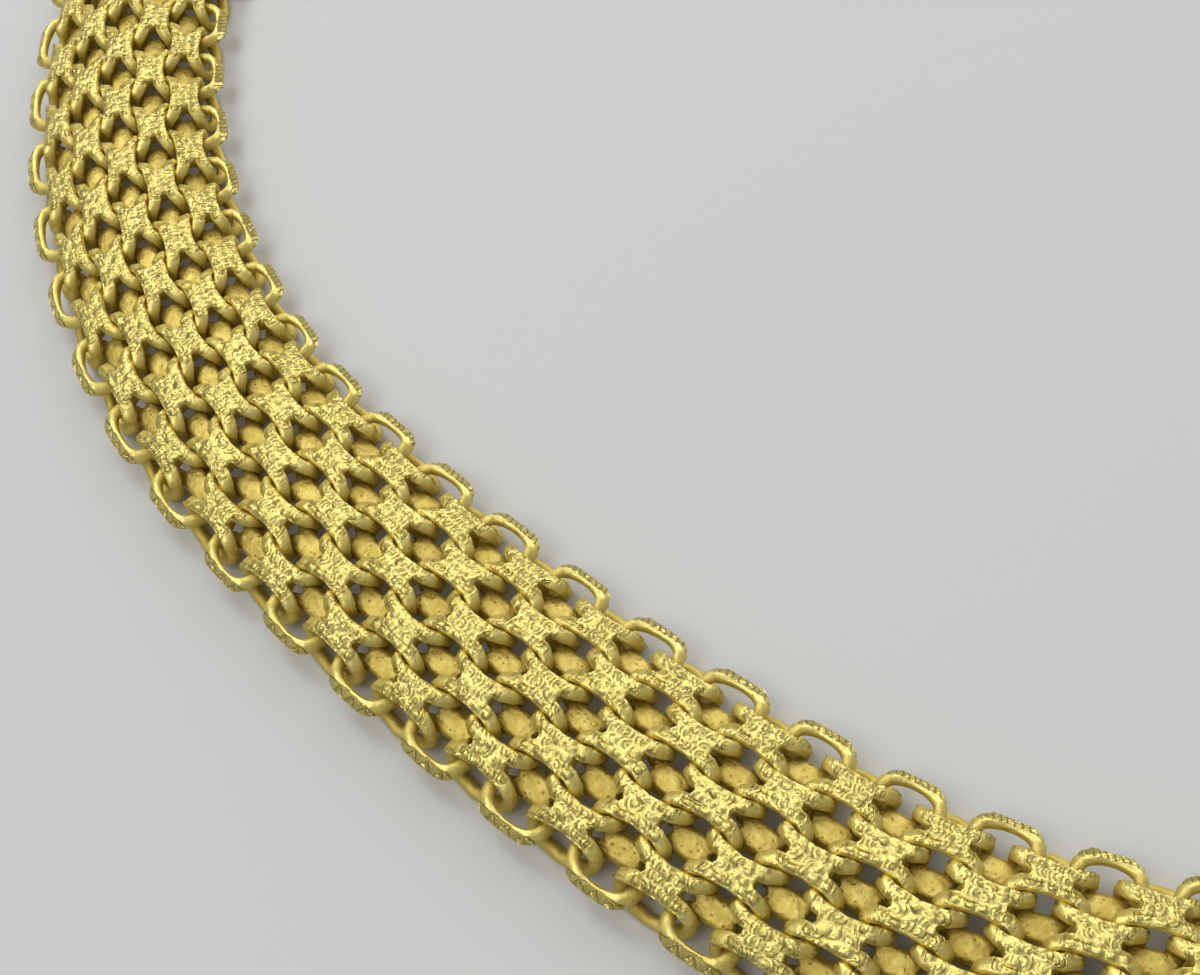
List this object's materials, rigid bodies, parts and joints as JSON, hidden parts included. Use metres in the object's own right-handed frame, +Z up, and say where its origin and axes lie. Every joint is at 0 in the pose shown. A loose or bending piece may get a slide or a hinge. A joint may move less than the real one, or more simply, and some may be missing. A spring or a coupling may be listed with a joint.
{
  "type": "collar necklace",
  "caption": "Wide woven mesh collar necklace of fused oval wire links in matte gold tone, closed in a flat loop by a plain domed box clasp.",
  "frame": {"origin": "centre of the loop, on the surface that the necklace lies on", "axes": "+Z up, +X to the right along the long way of the loop, -Y towards the front middle, +Y towards the clasp"},
  "size_m": [0.1456, 0.141, 0.0031],
  "materials": {
    "woven_gold": "matte yellow gold plate, stamped and slightly pitted",
    "clasp_gold": "matte yellow gold plate, plain"
  },
  "bodies": {
    "root": {"mesh_band": "woven_gold", "clasp": "clasp_gold"}
  },
  "joints": []
}
